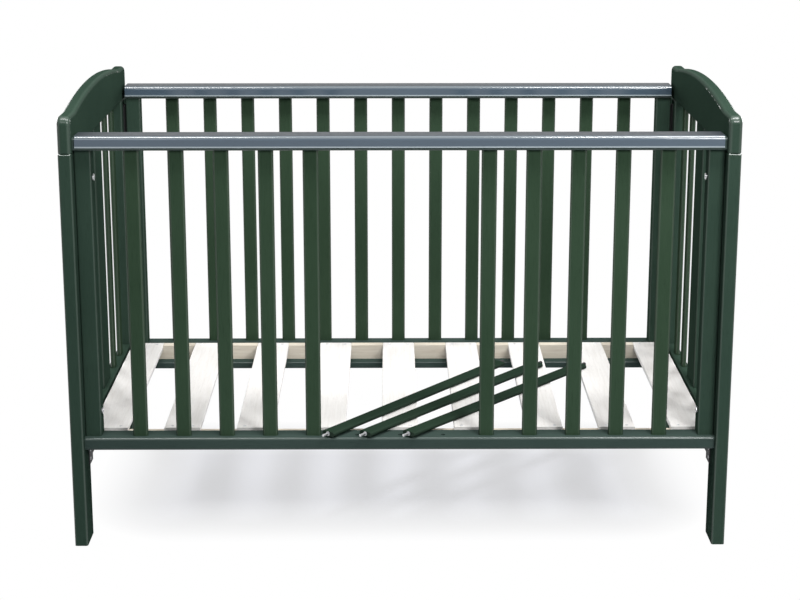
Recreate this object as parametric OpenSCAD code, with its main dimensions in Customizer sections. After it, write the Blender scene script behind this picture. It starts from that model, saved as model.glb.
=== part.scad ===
// Baby cot with arched ends, a drop side and three removable bars.
// X runs along the cot, the fixed front side faces -Y, and Z is up from the floor.
// The origin is on the floor, under the middle of the cot.

/* [Overall] */
// Length over the legs
cot_length = 1250; // [1100:5:1450]
// Width over the legs
cot_width = 660; // [600:5:800]
// Height of the joint between a leg and the arched rail
leg_height = 770; // [720:5:860]

/* [Legs and ends] */
// Thickness of the legs and end rails
leg_thick = 25; // [22:1:35]
// Width of a leg
leg_width = 65; // [55:1:80]
// Radius of the long edges of legs and end bottom rails
leg_round = 4; // [2:0.5:6]
// Height of the shoulders above the legs
shoulder_height = 69.5; // [50:0.5:110]
// Length of each flat shoulder
shoulder_length = 62; // [45:1:90]
// Radius of the shoulder's corner
shoulder_corner = 15; // [12:1:25]
// Rise of the arch above its shoulders
arch_rise = 22; // [12:1:60]
// Radius worked along the arched rail's top edges
arch_round = 8; // [5:0.5:9]
// Depth of the V groove between leg and arched rail
groove_depth = 2; // [1:0.5:3]
// Height of the end bottom rail
end_rail_height = 65; // [50:1:80]
// Underside of the end bottom rail above the floor
end_rail_z = 155; // [130:1:165]
// Width of the board in the middle of each end
board_width = 80; // [60:1:110]
// Slats on each side of that board
end_slats = 2; // [1:1:3]

/* [Slats] */
// Width of a slat
slat_width = 29; // [24:1:32]
// Thickness of a slat
slat_thick = 9; // [8.6:0.2:12]
// Greatest distance from slat to slat
slat_pitch_max = 82.5; // [76:0.5:88]
// Depth that a slat goes into its rail
tenon_length = 10; // [6:1:12]

/* [Sides] */
// Height of a side rail
side_rail_height = 25; // [24:1:32]
// Depth of a side rail
side_rail_depth = 46; // [42:1:52]
// Radius of a side rail's edges
side_rail_round = 5; // [2:0.5:6]
// Top of the top rails above the leg joints
side_top_rise = 29; // [27:1:40]
// Underside of the bottom rails above the floor
side_bottom_z = 193; // [192:1:230]
// Distance from the legs' outer face to the side rails
side_inset = 11; // [6:1:13]
// Width and depth of a stile
stile_size = 31; // [29:1:33]
// Distance from a rail's outer face to its slats
slat_inset = 12; // [8:1:14]

/* [Teething caps] */
// Wall of a cap
cap_wall = 2.5; // [2:0.1:3]
// Thickness of a cap over its rail
cap_top = 3; // [2:0.5:4]
// Length of the skirts below the rail's top
cap_skirt = 19; // [12:1:21]
// Radius of a cap's top edges
cap_round = 8; // [5.5:0.5:9]
// Distance from a cap's end to the leg
cap_end_gap = 5; // [2:1:12]

/* [Drop side] */
// Travel of the drop side
drop_travel = 170; // [120:5:172]
// Gap between the drop side and each leg
drop_gap = 7; // [7:0.5:12]
// Width of a guide track
track_width = 16; // [15:0.5:18]
// Wall of a guide track
track_wall = 1.2; // [1:0.1:1.5]
// Width of the slot in a guide track
track_slot = 8; // [7:0.5:9]
// Diameter of a catch bolt
catch_bolt_d = 8; // [6:0.5:8.5]
// Travel of a catch bolt
catch_travel = 14; // [10:1:16]
// Diameter of a catch knob
catch_knob_d = 14; // [12:1:18]

/* [Base] */
// Underside of the base above the floor
base_z = 190; // [186:1:191]
// Width of a base slat
base_slat_width = 70; // [50:1:90]
// Thickness of a base slat
base_slat_thick = 10; // [8:1:14]
// Greatest distance from base slat to base slat
base_pitch_max = 140; // [110:5:160]
// Width of a bearer
bearer_width = 20; // [18:1:24]
// Height of the base, bearer and slats together
base_height = 31; // [29:1:40]
// Width of the back stretcher
stretcher_width = 46; // [36:1:50]
// Thickness of the back stretcher
stretcher_thick = 14; // [13:0.5:14.5]

/* [Removable bars] */
// Diameter of a bar's steel pin
pin_d = 5; // [4:0.1:5.2]
// Length of pin beyond the ferrule
pin_reach = 15; // [12:0.5:16]
// Diameter of a bar's peg
peg_d = 8; // [6:0.5:8.4]
// Length of peg beyond the bar
peg_reach = 14; // [10:0.5:14]
// Free length between a bar's body and the rails
bar_gap = 1; // [0.5:0.5:3]

/* [Fittings] */
// Diameter of the frame bolts
bolt_d = 6; // [5:0.5:7]
// Diameter of a bolt head
bolt_head_d = 13; // [12:0.5:15]
// Diameter of the dowels
dowel_d = 8; // [6:1:9]
// Length of the dowels
dowel_length = 30; // [24:1:32]
// Diameter of the screws
screw_d = 3.5; // [3:0.5:4]
// Length of the screws
screw_length = 16; // [14:1:20]
// Thickness of a leg glide
glide_thick = 3; // [2:0.5:5]
// Thickness of a base bracket
bracket_thick = 2; // [1.5:0.5:3]

/* [Hidden] */
$fn = 48;

// Clearances
joint_clear = 0.1;   // glued and pushed joints
pin_clear = 0.1;     // sliding pins, all round
bolt_clear = 0.3;    // bolts in their holes, all round
cut_extra = 1;       // how far a cutter runs past a face

// Small shapes
spring_steps = 8;    // rings in one turn of a spring
board_round = 3;
stile_round = 3;
glide_end_inset = 8;
glide_side_inset = 3.5;
glide_round = 6;

// Overall places
inner_x = cot_length / 2 - leg_thick;          // inner face of the legs and ends
end_x = inner_x + leg_thick / 2;               // middle of an end's thickness
outer_y = cot_width / 2;                       // outer face of the legs
leg_inner_y = outer_y - leg_width;             // edge of a leg that faces the end panel
leg_y = outer_y - leg_width / 2;
arch_base = leg_height + shoulder_height;      // top of the shoulders
arch_half = outer_y - shoulder_length;
arch_radius = (arch_half * arch_half + arch_rise * arch_rise) / (2 * arch_rise);
arch_centre_z = arch_base + arch_rise - arch_radius;
arch_angle = asin(arch_half / arch_radius);
arch_lap = 6;                                  // how far arch and shoulder run into each other

// End panel places
end_panel_bottom = end_rail_z + end_rail_height;
end_slat_gap = (leg_inner_y - board_width / 2 - end_slats * slat_width) / (end_slats + 1);
end_slat_y = [for (i = [0:end_slats - 1])
    board_width / 2 + end_slat_gap + slat_width / 2 + i * (slat_width + end_slat_gap)];

// Side places, for the front; the back is the same at +Y
rail_y = -outer_y + side_inset + side_rail_depth / 2;
slat_face_y = -outer_y + side_inset + slat_inset;
slat_y = slat_face_y + slat_thick / 2;
stile_y = slat_face_y + stile_size / 2;
side_top_z = leg_height + side_top_rise;
panel_bottom = side_bottom_z + side_rail_height;
panel_top = side_top_z - side_rail_height;
panel_mid = (panel_bottom + panel_top) / 2;
slat_end_gap = 59.5;                           // between the last slat and a front stile
slat_span = inner_x - stile_size - slat_end_gap - slat_width / 2;
slats_each_way = ceil(slat_span / slat_pitch_max);
slat_pitch = slat_span / slats_each_way;
open_slats = 1;                                // slats left out on each side of the middle one
slat_x = [for (i = [-slats_each_way:slats_each_way]) i * slat_pitch];
fixed_slat_x = [for (i = [-slats_each_way:slats_each_way]) if (abs(i) > open_slats) i * slat_pitch];
socket_x = [for (i = [-open_slats:open_slats]) i * slat_pitch];
drop_x = inner_x - drop_gap;                   // end of the drop side
rail_inner_y = outer_y - side_inset - side_rail_depth;
base_front_gap = 3;                            // base to the front side
base_back_gap = 2;                             // base to the drop side

// Frame bolts, barrel nuts and inserts
side_bolt_up = 46;                             // lower side bolts above the bottom rail
side_bolt_down = 54;                           // upper side bolts below the top rail
side_bolt_z = [panel_bottom + side_bolt_up, panel_top - side_bolt_down];
bolt_head_thick = 2.5;
hex_key = 4;
insert_d = 10;
insert_length = 13;
side_bolt_length = stile_size + insert_length;
stretcher_y = rail_inner_y - base_back_gap - stretcher_width / 2;
stretcher_z = base_z - stretcher_thick;
stretcher_mid_z = base_z - stretcher_thick / 2;
stretcher_round = 2;
nut_d = 10;
nut_inset = 1;                                 // barrel nut below the stretcher's faces
nut_length = stretcher_thick - 2 * nut_inset;
nut_depth = 30;                                // barrel nut from the stretcher's end
bolt_past_nut = 10;
nut_x = inner_x - nut_depth;
stretcher_bolt_length = leg_thick + nut_depth + bolt_past_nut;

fitting_head_d = 2 * screw_d - 0.5;

// Guide tracks and runners
track_gap = 1;                                 // between a track and the drop side
track_depth = drop_gap - track_gap;
track_y = -stile_y;
track_x = inner_x - track_depth;
neck_clear = 0.2;                              // runner's neck in the slot, each side
head_clear = 0.3;                              // runner's head in the channel, each side
face_clear = 0.4;                              // runner's head in the channel's depth
runner_neck_d = track_slot - 2 * neck_clear;
runner_head_d = track_width - 2 * track_wall - 2 * head_clear;
runner_head_thick = track_depth - 2 * track_wall - 2 * face_clear;
runner_head_x = track_x + track_wall + face_clear;
runner_shank_d = 6;
runner_shank = 20;
runner_up = 27;                                // lower runners above the bottom rail
runner_down = 34;                              // upper runners below the top rail
runner_z = [panel_bottom + runner_up, panel_top - runner_down];
track_stop = 3;
track_spare = 1;                               // track left below the lowered runners
track_above = 12;
track_bottom = runner_z[0] - drop_travel - runner_head_d / 2 - track_stop - track_spare;
track_top = runner_z[1] + runner_head_d / 2 + track_above;

// Catches in the drop side's bottom rail
catch_spring_room = 1.7;                       // room round the bolt for its spring
catch_spring_wire = 0.9;
catch_spring_clear = 0.2;
catch_spring_turns = 8;
catch_chamber_d = catch_bolt_d + 2 * catch_spring_room;
catch_wall = 2.3;                              // wood between a chamber and the rail's inner face
catch_y = rail_inner_y + catch_wall + catch_chamber_d / 2;
catch_z = side_bottom_z + side_rail_height / 2;
catch_chamber = 93;
catch_bush_length = 12;
catch_collar_d = catch_chamber_d - 2 * bolt_clear;
catch_collar = 3;
catch_rest = 1;                                // collar to bush when the catch is out
catch_collar_x = drop_x - catch_bush_length - catch_travel - catch_collar - catch_rest;
catch_sunk = 1;                                // bolt's end below the rail's end
catch_bolt_end = drop_x - catch_sunk;
catch_post_reach = 55;
catch_post_x = drop_x - catch_chamber - catch_post_reach;
catch_tail = 17;                               // bolt beyond its post
catch_bolt_start = catch_post_x - catch_tail;
catch_post_d = 6;
catch_slot = catch_post_d + 1;                 // slot for the post, across the rail
catch_knob_height = 10;
catch_knob_gap = 3;                            // knob below the rail
catch_knob_top = side_bottom_z - catch_knob_gap;
catch_hole_depth = 8;

// Base
base_slat_start = -rail_inner_y + base_front_gap;
base_slat_end = rail_inner_y - base_back_gap;
front_bearer_y = base_slat_start + bearer_width / 2;
back_bearer_y = base_slat_end - bearer_width / 2;
bearer_end_gap = 5;
bearer_half = inner_x - bearer_end_gap;
base_top = base_z + base_height;
slat_bed_z = base_top - base_slat_thick;       // underside of the base slats
base_slat_span = bearer_half - base_slat_width / 2;
base_slats_each_way = ceil(base_slat_span / base_pitch_max);
base_slat_pitch = base_slat_span / base_slats_each_way;
base_slat_x = [for (i = [-base_slats_each_way:base_slats_each_way]) i * base_slat_pitch];
base_slat_round = 2;
base_screw_length = 24;
base_screw_head = 3;                           // depth of the head's cone
base_screw_edge = 15;
base_screw_offset = base_slat_width / 2 - base_screw_edge;

// Base brackets on the front legs
bracket_height = 40;
bracket_on_leg = 19;                           // bracket over the leg's face
bracket_plate_y = [-leg_inner_y - bracket_on_leg, front_bearer_y + bearer_width / 2];
bracket_flange = 25;
bracket_lap = 2;                               // flange past the bearer
bracket_screw_in = 8;                          // screws from the leg's edge
bracket_screw_down = [12, 30];                 // screws below the base
bracket_screw_z = [for (down = bracket_screw_down) base_z - down];
track_screw_low = 25;
track_screw_high = 10;
track_screw_z = [track_bottom + track_screw_low, panel_mid, track_top - track_screw_high];

// Removable bars, as fitted and as they lie on the base
socket_spare = 1;                              // hole deeper than its pin or peg
socket_depth = peg_reach + socket_spare;
pin_hole_depth = pin_reach + socket_spare;
bar_length = panel_top - panel_bottom - bar_gap;
ferrule_inset = 0.2;                           // ferrule within the bar's thickness, each side
ferrule_d = slat_thick - 2 * ferrule_inset;
ferrule_thick = 1;
bar_wall = 0.7;                                // wood round the sleeve
sleeve_d = slat_thick - 2 * bar_wall;
sleeve_wall = 0.5;
sleeve_bore = sleeve_d - 2 * sleeve_wall;
sleeve_length = 45;
collar_d = sleeve_bore - 2 * pin_clear;
collar_length = 4;
bar_spring_wire = 0.6;
bar_spring_room = 0.7;                         // between spring and sleeve
bar_spring_turns = 10;
sleeve_lip = 0.5;                              // sleeve wall behind the ferrule
sleeve_end = 0.8;                              // closed end of the sleeve
peg_shank = 22;
peg_shank_d = sleeve_d - 1;
tip_bevel = 1;                                 // bevel of pin and peg tips
open_edge = (open_slats + 1) * slat_pitch - slat_width / 2;
// Where each bar's pin tip lies, from the left edge of the open gap, and the bar's turn from +X
lying_x = [3.5, 74, 156];
lying_turn = [50.4, 49, 47.6];
lying_tip_in = 2;                              // pin tips in from the legs' front face
lying_tip_y = -outer_y + lying_tip_in;
bar_z = base_top + slat_thick / 2;

// Colours
green = [0.17, 0.24, 0.21];
slat_green = [0.19, 0.28, 0.22];
cap_grey = [0.45, 0.52, 0.58];
whitewash = [0.82, 0.81, 0.79];
raw_wood = [0.85, 0.8, 0.73];
beech = [0.83, 0.69, 0.5];
steel = [0.72, 0.73, 0.75];
dark_plastic = [0.1, 0.1, 0.1];
black_steel = [0.13, 0.13, 0.14];

// Rounded rectangle, centred
module rounded_rect(width, height, radius) {
    square([width - 2 * radius, height], center = true);
    square([width, height - 2 * radius], center = true);
    for (x = [-1, 1], y = [-1, 1])
        translate([x * (width / 2 - radius), y * (height / 2 - radius)]) circle(radius);
}

// Section of a slat with full-round edges, grown all round for its mortise
module slat_section(grow = 0) {
    round_at = (slat_width - slat_thick) / 2;
    square([2 * round_at, slat_thick + 2 * grow], center = true);
    for (x = [-1, 1]) translate([x * round_at, 0]) circle(slat_thick / 2 + grow);
}

// Bar along X, Y or Z with the given section
module along_x(length) { rotate([90, 0, 90]) linear_extrude(length, center = true) children(); }
module along_y(length) { rotate([90, 0, 0]) linear_extrude(length, center = true) children(); }

// Rod whose axis runs along X from x0 to x1
module rod_x(x0, x1, d) { translate([x0, 0, 0]) rotate([0, 90, 0]) cylinder(h = x1 - x0, d = d); }

// Mirrors a right-hand piece to the left where side is -1
module on_side(side) { mirror([side < 0 ? 1 : 0, 0, 0]) children(); }

// Mirrors a back piece to the front where end is -1
module on_face(end) { mirror([0, end < 0 ? 1 : 0, 0]) children(); }

// V groove cut round a joint on the leg's outer, inner and front faces, at the back right corner
module joint_groove() {
    bar = groove_depth * sqrt(2);
    translate([end_x, outer_y, leg_height]) rotate([45, 0, 0])
        cube([2 * leg_thick, bar, bar], center = true);
    for (x = [inner_x, inner_x + leg_thick]) translate([x, leg_y + cut_extra, leg_height])
        rotate([0, 45, 0]) cube([bar, leg_width + 2 * cut_extra, bar], center = true);
}

// Upright dowels between a leg and the arched rail, and level ones into the end bottom rail
module end_dowel_set(grow = 0) {
    reach = dowel_length / 2 + grow;
    for (y = [leg_y - leg_width / 4, leg_y + leg_width / 4])
        translate([end_x, y, leg_height]) cylinder(h = 2 * reach, d = dowel_d + 2 * grow, center = true);
    for (z = [end_rail_z + end_rail_height / 4, end_rail_z + 3 * end_rail_height / 4])
        translate([end_x, leg_inner_y, z]) rotate([90, 0, 0])
            cylinder(h = 2 * reach, d = dowel_d + 2 * grow, center = true);
}

// Screws in the guide tracks and base brackets, with flush heads against the leg at right
module countersunk_screw(length, head_d, head_depth, grow = 0) {
    cylinder(h = length + grow, d = screw_d + 2 * grow);
    cylinder(h = head_depth, d1 = head_d + 2 * grow, d2 = screw_d + 2 * grow);
}

module track_screw(grow = 0) {
    for (z = track_screw_z) translate([inner_x - track_wall, track_y, z]) rotate([0, 90, 0])
        countersunk_screw(screw_length, fitting_head_d, track_wall, grow);
}

module bracket_screw(grow = 0) {
    for (z = bracket_screw_z) translate([inner_x - bracket_thick, -leg_inner_y - bracket_screw_in, z])
        rotate([0, 90, 0]) countersunk_screw(screw_length, fitting_head_d, track_wall, grow);
}

// Legs
module leg(end) {
    difference() {
        translate([end_x, leg_y, glide_thick])
            linear_extrude(leg_height - glide_thick) rounded_rect(leg_thick, leg_width, leg_round);
        joint_groove();
        end_dowel_set(joint_clear);
        if (end > 0) {
            track_screw(joint_clear);
            for (drop = [0, drop_travel]) translate([0, catch_y, catch_z - drop])
                rod_x(inner_x - cut_extra, inner_x + catch_hole_depth, catch_bolt_d + 2 * bolt_clear);
        } else mirror([0, 1, 0]) {
            bracket_screw(joint_clear);
            for (z = side_bolt_z) translate([0, stile_y, z])
                rod_x(inner_x - cut_extra, inner_x + insert_length + joint_clear,
                    insert_d + 2 * joint_clear);
        }
    }
}

module left_front_leg() { color(green) on_side(-1) on_face(-1) leg(-1); }
module right_front_leg() { color(green) on_face(-1) leg(-1); }
module left_back_leg() { color(green) on_side(-1) leg(1); }
module right_back_leg() { color(green) leg(1); }

// Section of the arched rail as seen along it, its rounded top at height 0
module arched_section(height) {
    half = leg_thick / 2;
    intersection() {
        translate([-half, -height]) square([leg_thick, height]);
        union() {
            translate([-half, -arch_round - height]) square([leg_thick, height]);
            translate([-half + arch_round, -height]) square([leg_thick - 2 * arch_round, height]);
            for (x = [-1, 1]) translate([x * (half - arch_round), -arch_round]) circle(arch_round);
        }
    }
}

// The arch itself, turned about an axis far below the floor of the cot
module arch_sweep() {
    depth = shoulder_height + arch_rise + 2 * leg_thick;
    intersection() {
        translate([0, 0, arch_centre_z]) rotate([0, 90, 0]) rotate([0, 0, 180 - arch_angle - 1])
            rotate_extrude(angle = 2 * arch_angle + 2, $fn = 720)
                translate([arch_radius, 0]) rotate([0, 0, -90]) arched_section(depth);
        translate([-leg_thick, -arch_half - arch_lap, leg_height])
            cube([2 * leg_thick, 2 * (arch_half + arch_lap), 2 * shoulder_height + arch_rise]);
    }
}

// One shoulder at +Y, with its rounded corner and upright end
module shoulder() {
    flat = shoulder_length - shoulder_corner + arch_lap;
    translate([0, arch_half - arch_lap + flat / 2, arch_base])
        along_y(flat) arched_section(shoulder_height);
    corner_y = outer_y - shoulder_corner;
    corner_z = arch_base - shoulder_corner;
    half = leg_thick / 2;
    translate([0, corner_y, corner_z]) rotate([0, 90, 0]) rotate([0, 0, 90]) rotate_extrude(angle = 90)
        translate([shoulder_corner, 0]) rotate([0, 0, -90]) arched_section(shoulder_corner);
    translate([0, outer_y, leg_height]) linear_extrude(corner_z - leg_height)
        arched_section(shoulder_corner);
}

// Arched rail with mortises for the board and slats, and a softened underside
module arched_rail() {
    under = leg_round;
    difference() {
        translate([end_x, 0, 0]) {
            arch_sweep();
            for (end = [-1, 1]) on_face(end) shoulder();
        }
        for (end = [-1, 1]) on_face(end) {
            joint_groove();
            end_dowel_set(joint_clear);
            for (y = end_slat_y) translate([end_x, y, leg_height - cut_extra]) rotate([0, 0, 90])
                linear_extrude(tenon_length + cut_extra) slat_section(joint_clear);
        }
        translate([end_x, 0, leg_height - cut_extra]) rotate([0, 0, 90])
            linear_extrude(tenon_length + cut_extra) board_section(joint_clear);
        translate([end_x, 0, leg_height]) for (x = [0, 1]) mirror([x, 0, 0])
            translate([-leg_thick / 2, 0, 0]) along_y(2 * leg_inner_y) difference() {
                translate([-cut_extra, -cut_extra]) square(under + cut_extra);
                translate([under, under]) circle(under);
            }
    }
}

module board_section(grow = 0) {
    rounded_rect(board_width + 2 * grow, slat_thick + 2 * grow, board_round + grow);
}

module left_arched_rail() { color(green) on_side(-1) arched_rail(); }
module right_arched_rail() { color(green) arched_rail(); }

module end_bottom_rail() {
    difference() {
        translate([end_x, 0, end_rail_z + end_rail_height / 2])
            along_y(2 * leg_inner_y) rounded_rect(leg_thick, end_rail_height, leg_round);
        for (end = [-1, 1]) on_face(end) {
            end_dowel_set(joint_clear);
            for (y = end_slat_y) translate([end_x, y, end_panel_bottom - tenon_length]) rotate([0, 0, 90])
                linear_extrude(tenon_length + cut_extra) slat_section(joint_clear);
        }
        translate([end_x, 0, end_panel_bottom - tenon_length]) rotate([0, 0, 90])
            linear_extrude(tenon_length + cut_extra) board_section(joint_clear);
        translate([0, stretcher_y, stretcher_mid_z]) {
            rod_x(inner_x - cut_extra, inner_x + leg_thick + cut_extra, bolt_d + 2 * bolt_clear);
            rod_x(inner_x + leg_thick - bolt_head_thick, inner_x + leg_thick + cut_extra,
                bolt_head_d + 2 * bolt_clear);
        }
    }
}

module left_end_bottom_rail() { color(green) on_side(-1) end_bottom_rail(); }
module right_end_bottom_rail() { color(green) end_bottom_rail(); }

module end_board() {
    length = leg_height - end_panel_bottom + 2 * tenon_length;
    translate([end_x, 0, end_panel_bottom - tenon_length]) rotate([0, 0, 90])
        linear_extrude(length) board_section();
}

module left_end_board() { color(green) on_side(-1) end_board(); }
module right_end_board() { color(green) end_board(); }

module end_slat_set() {
    length = leg_height - end_panel_bottom + 2 * tenon_length;
    for (end = [-1, 1], y = end_slat_y) translate([end_x, end * y, end_panel_bottom - tenon_length])
        rotate([0, 0, 90]) linear_extrude(length) slat_section();
}

module left_end_slats() { color(slat_green) on_side(-1) end_slat_set(); }
module right_end_slats() { color(slat_green) end_slat_set(); }

// Upright dowels that join a side's stiles to its rails
module side_dowel_set(x, grow = 0) {
    for (side = [-1, 1], z = [panel_bottom, panel_top])
        translate([side * (x - stile_size / 2), stile_y, z])
            cylinder(h = dowel_length + 2 * grow, d = dowel_d + 2 * grow, center = true);
}

module frame_dowels() {
    color(beech) {
        for (side = [-1, 1], end = [-1, 1]) on_side(side) on_face(end) end_dowel_set();
        side_dowel_set(inner_x);
    }
}

module foot_glides() {
    color(dark_plastic) for (side = [-1, 1], end = [-1, 1])
        translate([side * end_x, end * leg_y, 0]) rotate([0, 0, 90]) linear_extrude(glide_thick)
            rounded_rect(leg_width - 2 * glide_end_inset, leg_thick - 2 * glide_side_inset, glide_round);
}

// Side rails, for the front; half is the distance from the middle to the rail's end
module side_rail(half, z) {
    translate([0, rail_y, z + side_rail_height / 2])
        along_x(2 * half) rounded_rect(side_rail_depth, side_rail_height, side_rail_round);
}

module slat_mortises(places, z) {
    for (x = places) translate([x, slat_y, z])
        linear_extrude(tenon_length + cut_extra) slat_section(joint_clear);
}

module top_rail(half, places) {
    difference() {
        side_rail(half, panel_top);
        slat_mortises(places, panel_top - cut_extra);
        side_dowel_set(half, joint_clear);
    }
}

module bottom_rail(half, places) {
    difference() {
        side_rail(half, side_bottom_z);
        slat_mortises(places, panel_bottom - tenon_length);
        side_dowel_set(half, joint_clear);
    }
}

module front_top_rail() {
    color(green) difference() {
        top_rail(inner_x, fixed_slat_x);
        for (x = socket_x) translate([x, slat_y, panel_top - cut_extra])
            cylinder(h = pin_hole_depth + cut_extra, d = pin_d + 2 * pin_clear);
    }
}

module front_bottom_rail() {
    color(green) difference() {
        bottom_rail(inner_x, fixed_slat_x);
        for (x = socket_x) translate([x, slat_y, panel_bottom - socket_depth])
            cylinder(h = socket_depth + cut_extra, d = peg_d + 2 * pin_clear);
    }
}

// Stile at the right; x is where its outer side ends
module stile(x) {
    difference() {
        translate([x - stile_size / 2, stile_y, panel_bottom]) linear_extrude(panel_top - panel_bottom)
            rounded_rect(stile_size, stile_size, stile_round);
        side_dowel_set(x, joint_clear);
    }
}

module front_stile() {
    difference() {
        stile(inner_x);
        for (z = side_bolt_z) translate([0, stile_y, z])
            rod_x(inner_x - stile_size - cut_extra, inner_x + cut_extra, bolt_d + 2 * bolt_clear);
    }
}

module front_left_stile() { color(green) on_side(-1) front_stile(); }
module front_right_stile() { color(green) front_stile(); }

module side_slats(places) {
    for (x = places) translate([x, slat_y, panel_bottom - tenon_length])
        linear_extrude(panel_top - panel_bottom + 2 * tenon_length) slat_section();
}

module front_slats() { color(slat_green) side_slats(fixed_slat_x); }

// Teething cap: a moulded channel that clips over a top rail
module teething_cap(half) {
    width = side_rail_depth + 2 * (cap_wall + joint_clear);
    height = cap_skirt + cap_top;
    translate([0, rail_y, side_top_z + cap_top]) along_x(2 * half) difference() {
        union() {
            translate([-width / 2, -height]) square([width, height - cap_round]);
            translate([-width / 2 + cap_round, -height]) square([width - 2 * cap_round, height]);
            for (side = [-1, 1]) translate([side * (width / 2 - cap_round), -cap_round]) circle(cap_round);
        }
        translate([0, -cap_top - side_rail_height / 2])
            rounded_rect(side_rail_depth + 2 * joint_clear, side_rail_height + 2 * joint_clear,
                side_rail_round);
        translate([-side_rail_depth / 2 - joint_clear, -height - side_rail_height])
            square([side_rail_depth + 2 * joint_clear, side_rail_height + cap_skirt / 2]);
    }
}

module front_teething_cap() { color(cap_grey) teething_cap(inner_x - cap_end_gap); }

// Bolt along +X, its head's underside at x = 0, with a hexagon socket
module frame_bolt(length) {
    difference() {
        union() {
            rod_x(-bolt_head_thick, 0, bolt_head_d);
            rod_x(-bolt_head_thick / 2, length, bolt_d);
        }
        translate([-bolt_head_thick - cut_extra, 0, 0]) rotate([0, 90, 0])
            cylinder(h = bolt_head_thick + 2 * cut_extra, d = hex_key / cos(30), $fn = 6);
    }
}

module side_bolts() {
    color(steel) for (side = [-1, 1], z = side_bolt_z) on_side(side)
        translate([inner_x - stile_size, stile_y, z]) frame_bolt(side_bolt_length);
}

module side_inserts() {
    color(steel) for (side = [-1, 1], z = side_bolt_z) on_side(side)
        translate([0, stile_y, z]) difference() {
            rod_x(inner_x, inner_x + insert_length, insert_d);
            rod_x(inner_x - cut_extra, inner_x + insert_length + cut_extra, bolt_d + 2 * joint_clear);
        }
}

// Guide track on a back leg: a lipped channel, open at the top, with a stop at its foot
module guide_tracks() {
    color(black_steel) for (side = [-1, 1]) on_side(side) difference() {
        translate([track_x, track_y - track_width / 2, track_bottom])
            cube([track_depth, track_width, track_top - track_bottom]);
        translate([track_x + track_wall, track_y - track_width / 2 + track_wall, track_bottom + track_stop])
            cube([track_depth - 2 * track_wall, track_width - 2 * track_wall, track_top - track_bottom]);
        translate([track_x - cut_extra, track_y - track_slot / 2, track_bottom + track_stop])
            cube([track_wall + 2 * cut_extra, track_slot, track_top - track_bottom]);
        track_screw(joint_clear);
        translate([0, catch_y, catch_z])
            rod_x(track_x - cut_extra, inner_x + cut_extra, catch_bolt_d + 2 * bolt_clear);
    }
}

module fitting_screws() {
    color(steel) for (side = [-1, 1]) on_side(side) {
        track_screw();
        bracket_screw();
    }
}

// Stretcher that ties the ends together and carries the back of the base
module back_stretcher() {
    color(green) difference() {
        translate([0, stretcher_y, stretcher_mid_z])
            along_x(2 * inner_x) rounded_rect(stretcher_width, stretcher_thick, stretcher_round);
        for (side = [-1, 1]) on_side(side) {
            translate([0, stretcher_y, stretcher_mid_z])
                rod_x(nut_x - nut_d, inner_x + cut_extra, bolt_d + 2 * bolt_clear);
            translate([nut_x, stretcher_y, stretcher_z - cut_extra])
                cylinder(h = nut_length + nut_inset + cut_extra + joint_clear, d = nut_d + 2 * joint_clear);
        }
    }
}

module stretcher_bolts() {
    color(steel) for (side = [-1, 1]) on_side(side)
        translate([inner_x + leg_thick - bolt_head_thick, stretcher_y, stretcher_mid_z])
            mirror([1, 0, 0]) frame_bolt(stretcher_bolt_length - bolt_head_thick);
}

module stretcher_nuts() {
    color(steel) for (side = [-1, 1]) on_side(side) difference() {
        translate([nut_x, stretcher_y, stretcher_z + nut_inset]) cylinder(h = nut_length, d = nut_d);
        translate([0, stretcher_y, stretcher_mid_z])
            rod_x(nut_x - nut_d, nut_x + nut_d, bolt_d + 2 * joint_clear);
    }
}

// Angle brackets that carry the front bearer
module base_brackets() {
    plate = bracket_plate_y[1] - bracket_plate_y[0];
    flange_y = bracket_plate_y[1] - bearer_width - bracket_lap;
    color(black_steel) for (side = [-1, 1]) on_side(side) difference() {
        union() {
            translate([inner_x - bracket_thick, bracket_plate_y[0], base_z - bracket_height])
                cube([bracket_thick, plate, bracket_height]);
            translate([inner_x - bracket_flange, flange_y, base_z - bracket_thick])
                cube([bracket_flange, bearer_width + bracket_lap, bracket_thick]);
        }
        bracket_screw(joint_clear);
    }
}

// Drop side, at the back
module at_back() { mirror([0, 1, 0]) children(); }

module back_top_rail() { color(green) at_back() top_rail(drop_x, slat_x); }

module back_bottom_rail() {
    color(green) difference() {
        at_back() bottom_rail(drop_x, slat_x);
        for (side = [-1, 1]) on_side(side) translate([0, catch_y, catch_z]) {
            rod_x(catch_bolt_start - catch_rest, drop_x + cut_extra, catch_bolt_d + 2 * pin_clear);
            rod_x(drop_x - catch_chamber, drop_x + cut_extra, catch_chamber_d);
            translate([catch_post_x + catch_travel / 2, 0, -side_rail_height / 2])
                cube([catch_travel + catch_slot, catch_slot, side_rail_height], center = true);
        }
    }
}

module back_stile() {
    difference() {
        at_back() stile(drop_x);
        for (z = runner_z) translate([0, track_y, z])
            rod_x(drop_x - runner_shank, drop_x + cut_extra, runner_shank_d + 2 * joint_clear);
    }
}

module back_left_stile() { color(green) on_side(-1) back_stile(); }
module back_right_stile() { color(green) back_stile(); }
module back_slats() { color(slat_green) at_back() side_slats(slat_x); }
module back_dowels() { color(beech) at_back() side_dowel_set(drop_x); }
module back_teething_cap() { color(cap_grey) at_back() teething_cap(inner_x - max(cap_end_gap, drop_gap)); }

// Runners that ride in the guide tracks
module drop_side_runners() {
    color(dark_plastic) for (side = [-1, 1], z = runner_z) on_side(side) translate([0, track_y, z]) {
        rod_x(drop_x - runner_shank, drop_x, runner_shank_d);
        rod_x(drop_x, runner_head_x, runner_neck_d);
        rod_x(runner_head_x, runner_head_x + runner_head_thick, runner_head_d);
    }
}

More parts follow.
